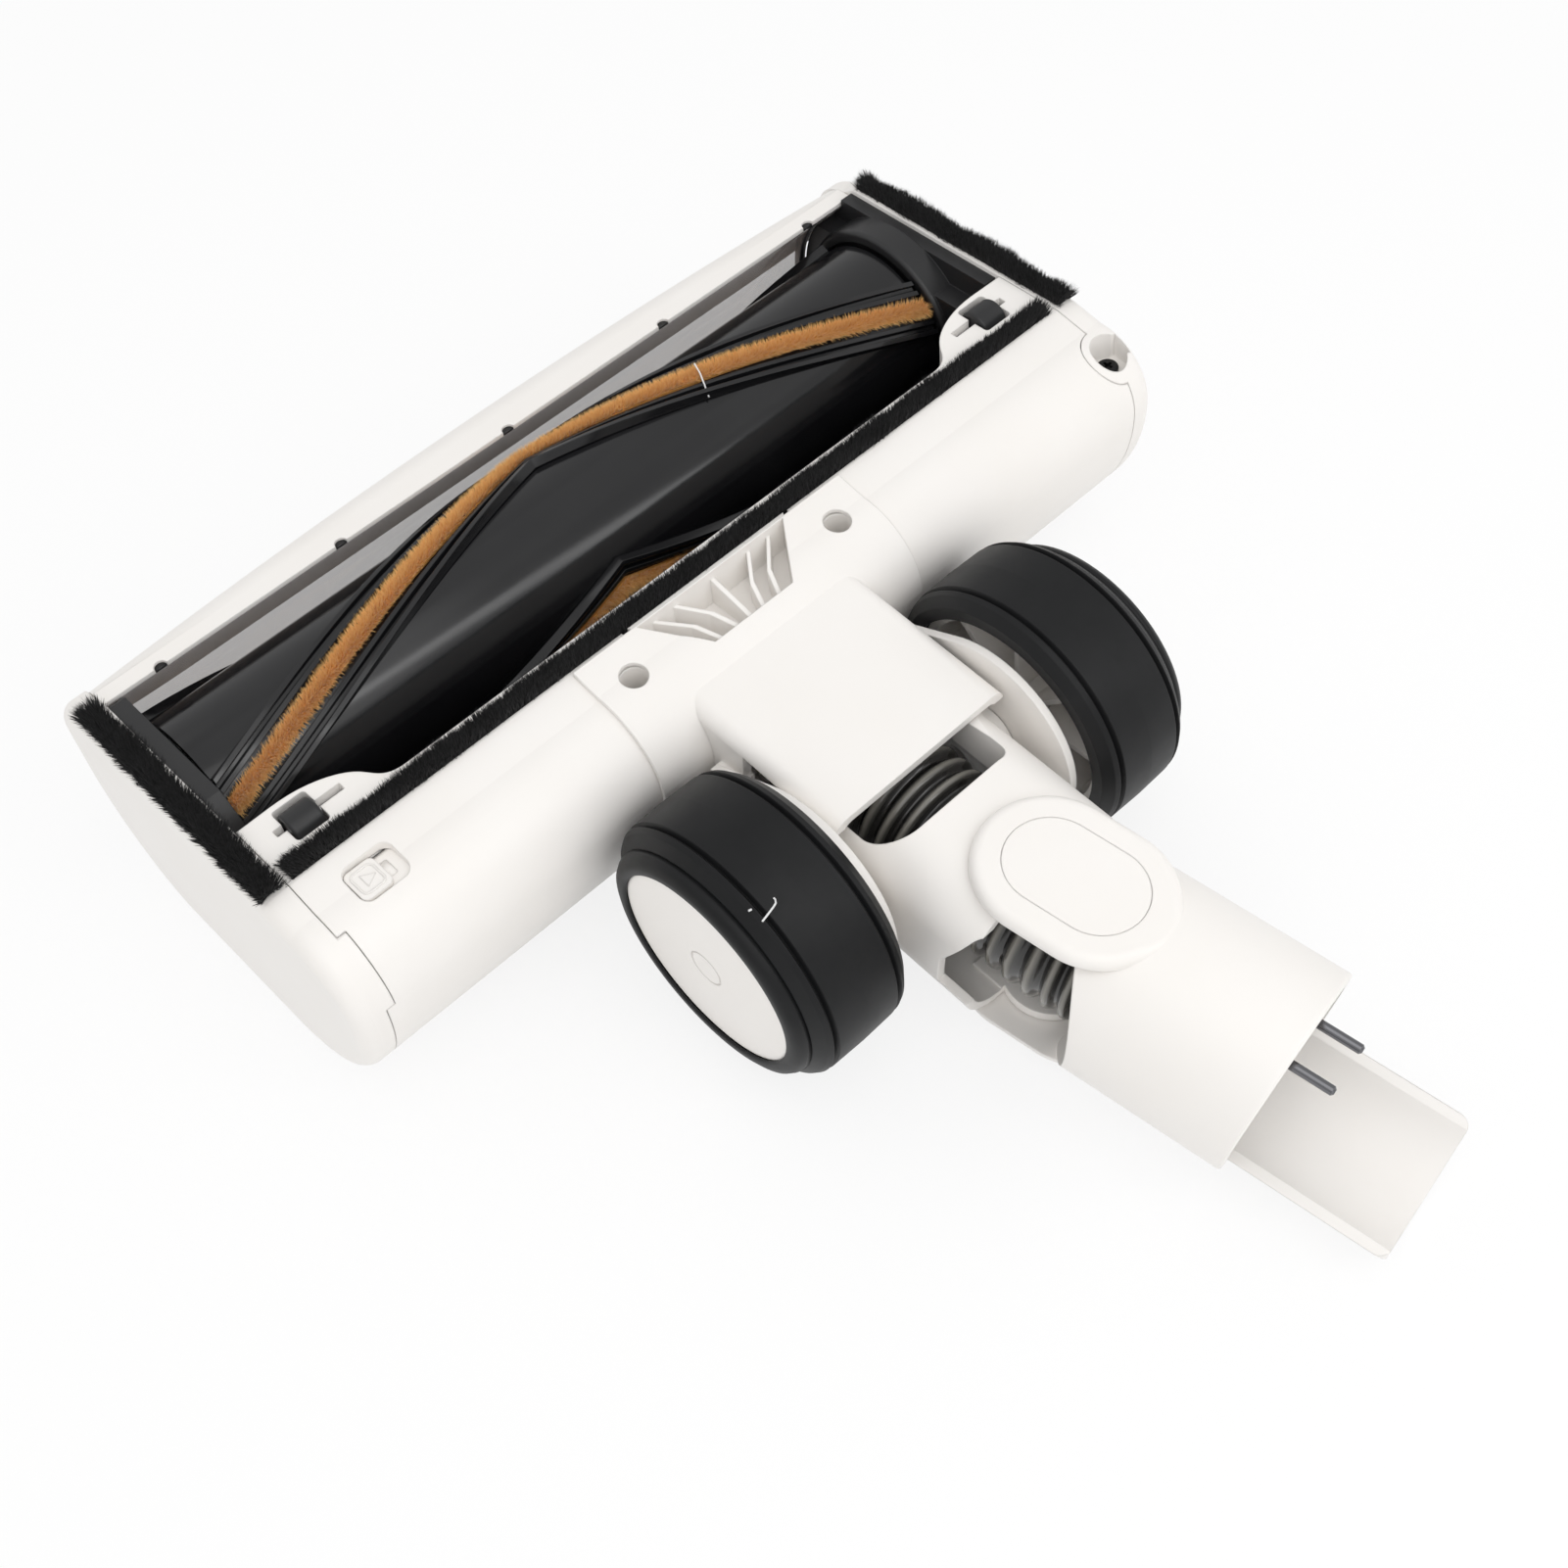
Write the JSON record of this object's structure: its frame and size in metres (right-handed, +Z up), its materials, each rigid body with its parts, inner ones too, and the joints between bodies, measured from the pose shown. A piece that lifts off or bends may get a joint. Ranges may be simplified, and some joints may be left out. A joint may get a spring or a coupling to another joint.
{
  "type": "vacuum floor brush head",
  "caption": "Motorised vacuum floor head lying on its back: long roller with V-shaped plush strips, pile edges, side wheels, tipping neck and swinging wand socket.",
  "frame": {"origin": "on the table under the roller's axis, at mid-length of the housing", "axes": "+X along the roller towards its driven end, +Y to the front bumper, +Z up out of the sole"},
  "size_m": [0.2453, 0.2814, 0.0663],
  "materials": {
    "white_shell": "satin",
    "clear_window": "clear gloss",
    "gloss_black": "gloss",
    "satin_black": "satin",
    "plush": "plush",
    "pile": "pile",
    "tread": "satin",
    "belt_rubber": "matte",
    "smoke_hose": "gloss",
    "steel": "satin",
    "bright_steel": "polished",
    "black_screw": "blackened",
    "motor_can": "satin"
  },
  "bodies": {
    "head": {"lower_housing": "white_shell", "top_cover": "white_shell", "tunnel_liner": "satin_black", "front_window": "clear_window", "front_bumper": "white_shell", "left_end_cap": "white_shell", "right_end_cap": "white_shell", "left_bearing_block": "satin_black", "drive_bracket": "satin_black", "motor": "motor_can", "drive_belt": "belt_rubber", "rear_pile_strip": "pile", "left_pile_strip": "pile", "right_pile_strip": "pile", "sole_roller_pins": "steel", "latch_spring": "steel", "neck_base": "white_shell", "neck_base_screws": "black_screw", "end_cap_screw": "black_screw", "wheel_axles": "steel"},
    "roller": {"roller_core": "gloss_black", "plush_strips": "plush", "roller_left_hub": "satin_black", "roller_drive_hub": "satin_black", "roller_pulley": "satin_black"},
    "motor_rotor": {"motor_pulley": "satin_black"},
    "left_wheel": {"left_tyre": "tread", "left_wheel_hub": "white_shell", "left_hub_cap": "white_shell"},
    "right_wheel": {"right_tyre": "tread", "right_wheel_hub": "white_shell", "right_hub_cap": "white_shell"},
    "left_sole_wheel": {"left_sole_roller": "satin_black"},
    "right_sole_wheel": {"right_sole_roller": "satin_black"},
    "latch": {"latch_slider": "white_shell"},
    "neck": {"neck_knuckle": "white_shell", "flex_hose": "smoke_hose"},
    "wand": {"wand_socket": "white_shell", "upper_pivot_cover": "white_shell", "lower_pivot_cover": "white_shell", "swing_pins": "steel", "contact_block": "satin_black", "contact_prongs": "bright_steel"}
  },
  "joints": [
    {"name": "roller_spin", "type": "hinge", "parent": "head", "child": "roller", "pos_m": [0, 0, 0.0385], "axis": [1, 0, 0], "continuous": true},
    {"name": "motor_spin", "type": "hinge", "parent": "head", "child": "motor_rotor", "pos_m": [0.1108, -0.051, 0.031], "axis": [1, 0, 0], "continuous": true},
    {"name": "left_wheel_spin", "type": "hinge", "parent": "head", "child": "left_wheel", "pos_m": [-0.044, -0.1105, 0.033], "axis": [1, 0, 0], "continuous": true},
    {"name": "right_wheel_spin", "type": "hinge", "parent": "head", "child": "right_wheel", "pos_m": [0.044, -0.1105, 0.033], "axis": [1, 0, 0], "continuous": true},
    {"name": "left_sole_roller_spin", "type": "hinge", "parent": "head", "child": "left_sole_wheel", "pos_m": [-0.103, -0.0382, 0.0606], "axis": [1, 0, 0], "continuous": true},
    {"name": "right_sole_roller_spin", "type": "hinge", "parent": "head", "child": "right_sole_wheel", "pos_m": [0.103, -0.0382, 0.0606], "axis": [1, 0, 0], "continuous": true},
    {"name": "latch_slide", "type": "slide", "parent": "head", "child": "latch", "axis": [1, 0, 0], "range_m": [0, 0.004], "stiffness_N_per_m": 200, "springref_m": -0.002, "deforming": ["latch_spring"]},
    {"name": "neck_pitch", "type": "hinge", "parent": "head", "child": "neck", "pos_m": [0, -0.1105, 0.033], "axis": [1, 0, 0], "range_deg": [-5, 85], "deforming": ["flex_hose"]},
    {"name": "wand_swing", "type": "hinge", "parent": "neck", "child": "wand", "pos_m": [0, -0.15583, 0.02903], "axis": [0, -0.0872, 0.9962], "range_deg": [-53.6, 36.4], "deforming": ["flex_hose"]}
  ],
  "couplings": [
    {"joint": "motor_spin", "follows": "roller_spin", "ratio": 2}
  ]
}
